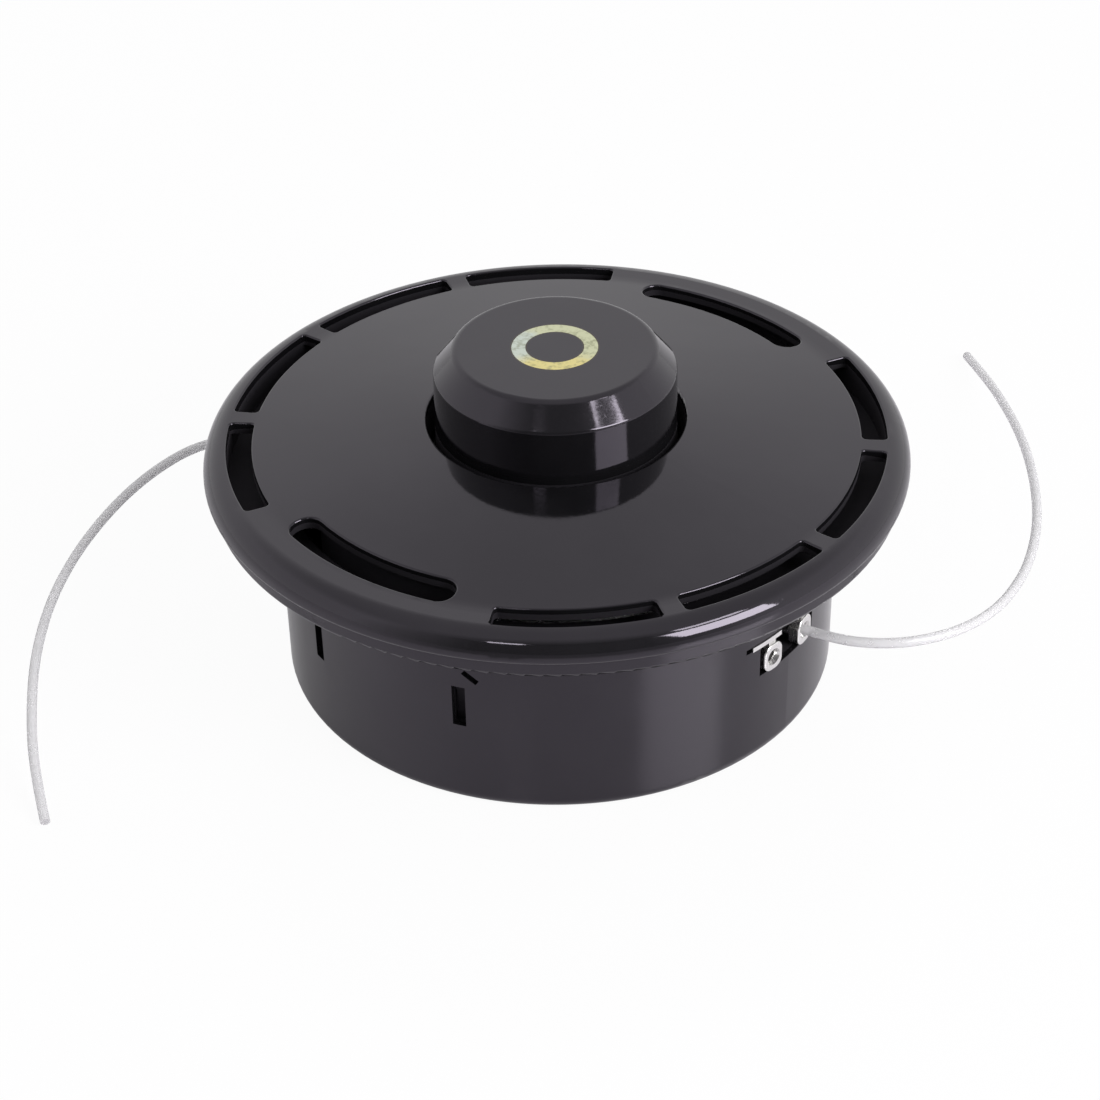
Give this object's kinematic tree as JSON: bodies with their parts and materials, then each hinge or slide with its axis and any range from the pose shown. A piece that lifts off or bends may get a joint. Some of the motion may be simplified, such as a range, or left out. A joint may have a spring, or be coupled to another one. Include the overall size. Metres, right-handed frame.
{
  "type": "trimmer_head",
  "caption": "Round bump-feed trimmer head: black moulded case with slotted cover and central press knob, line leaving both sides through metal eyelets.",
  "frame": {"origin": "on the spindle axis at the mounting face, the base of the case without the two line tails", "axes": "Z along the spindle axis from the mounting face to the knob, X through the middle of the right-hand line window, Y by the right-hand rule"},
  "size_m": [0.1726, 0.2518, 0.0704],
  "materials": {
    "black_plastic": "moulded black nylon, smooth, clear gloss outside and dull inside",
    "dark_plastic": "moulded dark nylon, satin",
    "bush_plastic": "natural acetal bush, satin",
    "nylon_line": "white translucent extruded nylon",
    "bright_metal": "pressed and turned metal, nickel plated",
    "zinc_steel": "zinc-plated steel",
    "spring_steel": "drawn spring steel, lightly oiled"
  },
  "bodies": {
    "head": {"case": "black_plastic", "cover": "black_plastic", "spring": "spring_steel", "spring_base_washer": "zinc_steel", "arbor_nut": "zinc_steel", "nut_retainer": "spring_steel", "eyelet_plate_right": "bright_metal", "eyelet_right_used": "bright_metal", "eyelet_right_spare": "bright_metal", "eyelet_plate_left": "bright_metal", "eyelet_left_used": "bright_metal", "eyelet_left_spare": "bright_metal", "line_right": "nylon_line", "line_left": "nylon_line"},
    "spring_seat_body": {"spring_seat": "zinc_steel"},
    "spool_body": {"spool": "dark_plastic", "bump_knob": "black_plastic", "knob_screws": "zinc_steel", "spool_bush": "bush_plastic", "wound_line": "nylon_line"}
  },
  "joints": [
    {"name": "knob_press", "type": "slide", "parent": "head", "child": "spring_seat_body", "axis": [0, 0, -1], "range_m": [0, 0.006], "stiffness_N_per_m": 1000, "springref_m": -0.01, "deforming": ["spring"]},
    {"name": "spool_turn", "type": "hinge", "parent": "spring_seat_body", "child": "spool_body", "pos_m": [0, 0, 0.03], "axis": [0, 0, 1], "range_deg": [-35, 0]}
  ]
}
